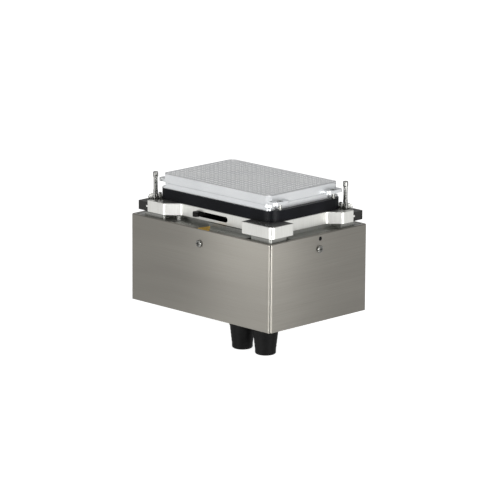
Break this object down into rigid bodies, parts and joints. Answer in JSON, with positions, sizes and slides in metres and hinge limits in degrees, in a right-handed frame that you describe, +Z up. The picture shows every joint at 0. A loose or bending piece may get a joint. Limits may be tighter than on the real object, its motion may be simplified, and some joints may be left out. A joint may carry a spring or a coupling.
{
  "type": "dry block heater",
  "caption": "Bench or deck-mounted dry block heater for microplates: a hot dimpled block on a platform that a crank carries round a small circle, in a stainless sleeve.",
  "frame": {"origin": "middle of the base plate's underside, where the unit is bolted to a deck", "axes": "+Z up, +X along the long side to the right of the lever side, -Y towards the side with the lever"},
  "size_m": [0.15, 0.106, 0.1197],
  "materials": {
    "brushed_stainless": "brushed",
    "machined_aluminium": "machined",
    "anodised_aluminium": "bead-blasted and clear anodised",
    "dark_anodised": "dark anodised",
    "black_plastic": "satin",
    "black_rubber": "matt",
    "polished_steel": "polished",
    "zinc_steel": "plain",
    "ground_steel": "ground",
    "cast_block": "as cast",
    "bronze": "plain",
    "copper_wire": "enamelled",
    "amber_label": "printed film",
    "green_laminate": "solder mask",
    "orange_silicone": "matt",
    "fibre_board": "matt",
    "brown_phenolic": "satin"
  },
  "bodies": {
    "base": {"sleeve": "brushed_stainless", "base_plate": "machined_aluminium", "corner_posts": "cast_block", "tie_screws": "zinc_steel", "deck_frame": "machined_aluminium", "deck_seal": "black_rubber", "status_lamp": "black_plastic", "warning_label": "amber_label", "side_screws": "zinc_steel", "controller_board": "green_laminate", "board_posts": "zinc_steel", "board_sockets": "black_plastic", "home_sensor": "black_plastic", "earth_stud": "zinc_steel", "bearing_block": "cast_block", "block_screws": "zinc_steel", "lower_main_bearing": "ground_steel", "upper_main_bearing": "ground_steel", "motor_can": "ground_steel", "motor_screws": "zinc_steel", "stator_core": "ground_steel", "windings": "copper_wire", "idler_bushes": "bronze", "gland_body_1": "black_plastic", "gland_body_2": "black_plastic", "gland_boot_1": "black_rubber", "gland_boot_2": "black_rubber", "gland_nuts": "black_plastic"},
    "crank": {"crank_shaft": "ground_steel", "rotor": "ground_steel", "counterweight": "zinc_steel", "home_flag": "zinc_steel"},
    "idler_1": {"idler_crank_1": "ground_steel"},
    "idler_2": {"idler_crank_2": "ground_steel"},
    "platform": {"platform_plate": "machined_aluminium", "platform_cover": "zinc_steel", "cover_screws": "zinc_steel", "platform_bearing": "ground_steel", "idler_bearings": "bronze", "nest_stops": "machined_aluminium", "insulating_frame": "black_plastic", "insulation_pad": "fibre_board", "heating_mat": "orange_silicone", "heater_plate": "anodised_aluminium", "temperature_sensor": "ground_steel", "thermal_cutout": "brown_phenolic", "adapter_block": "anodised_aluminium", "adapter_screws": "zinc_steel", "frame_screws": "zinc_steel"},
    "lock": {"cam_disc": "ground_steel", "lock_lever": "black_plastic", "lever_screws": "zinc_steel"},
    "left_carriage_body": {"left_carriage": "dark_anodised", "left_tall_pin": "polished_steel", "left_short_pin": "polished_steel", "left_cam_pin": "polished_steel"},
    "right_carriage_body": {"right_carriage": "dark_anodised", "right_tall_pin": "polished_steel", "right_short_pin": "polished_steel", "right_cam_pin": "polished_steel"}
  },
  "joints": [
    {"name": "crank_spin", "type": "hinge", "parent": "base", "child": "crank", "pos_m": [0, 0, 0.055], "axis": [0, 0, 1], "continuous": true},
    {"name": "platform_orbit", "type": "hinge", "parent": "crank", "child": "platform", "pos_m": [0.00071, 0.00071, 0.072], "axis": [0, 0, 1], "continuous": true},
    {"name": "idler_1_spin", "type": "hinge", "parent": "base", "child": "idler_1", "pos_m": [-0.05, 0.027, 0.062], "axis": [0, 0, 1], "continuous": true},
    {"name": "idler_2_spin", "type": "hinge", "parent": "base", "child": "idler_2", "pos_m": [0.05, -0.027, 0.062], "axis": [0, 0, 1], "continuous": true},
    {"name": "lever_swing", "type": "hinge", "parent": "platform", "child": "lock", "pos_m": [0.00071, 0.00071, 0.074], "axis": [0, 0, 1], "range_deg": [0, 38]},
    {"name": "left_carriage_slide", "type": "slide", "parent": "platform", "child": "left_carriage_body", "axis": [-0.7071, -0.7071, 0], "range_m": [0, 0.00279]},
    {"name": "right_carriage_slide", "type": "slide", "parent": "platform", "child": "right_carriage_body", "axis": [0.7071, 0.7071, 0], "range_m": [0, 0.00279]}
  ],
  "couplings": [
    {"joint": "platform_orbit", "follows": "crank_spin", "ratio": -1},
    {"joint": "idler_1_spin", "follows": "crank_spin", "ratio": 1},
    {"joint": "idler_2_spin", "follows": "crank_spin", "ratio": 1},
    {"joint": "left_carriage_slide", "follows": "lever_swing", "m_per_rad": 0.0042},
    {"joint": "right_carriage_slide", "follows": "lever_swing", "m_per_rad": 0.0042}
  ]
}
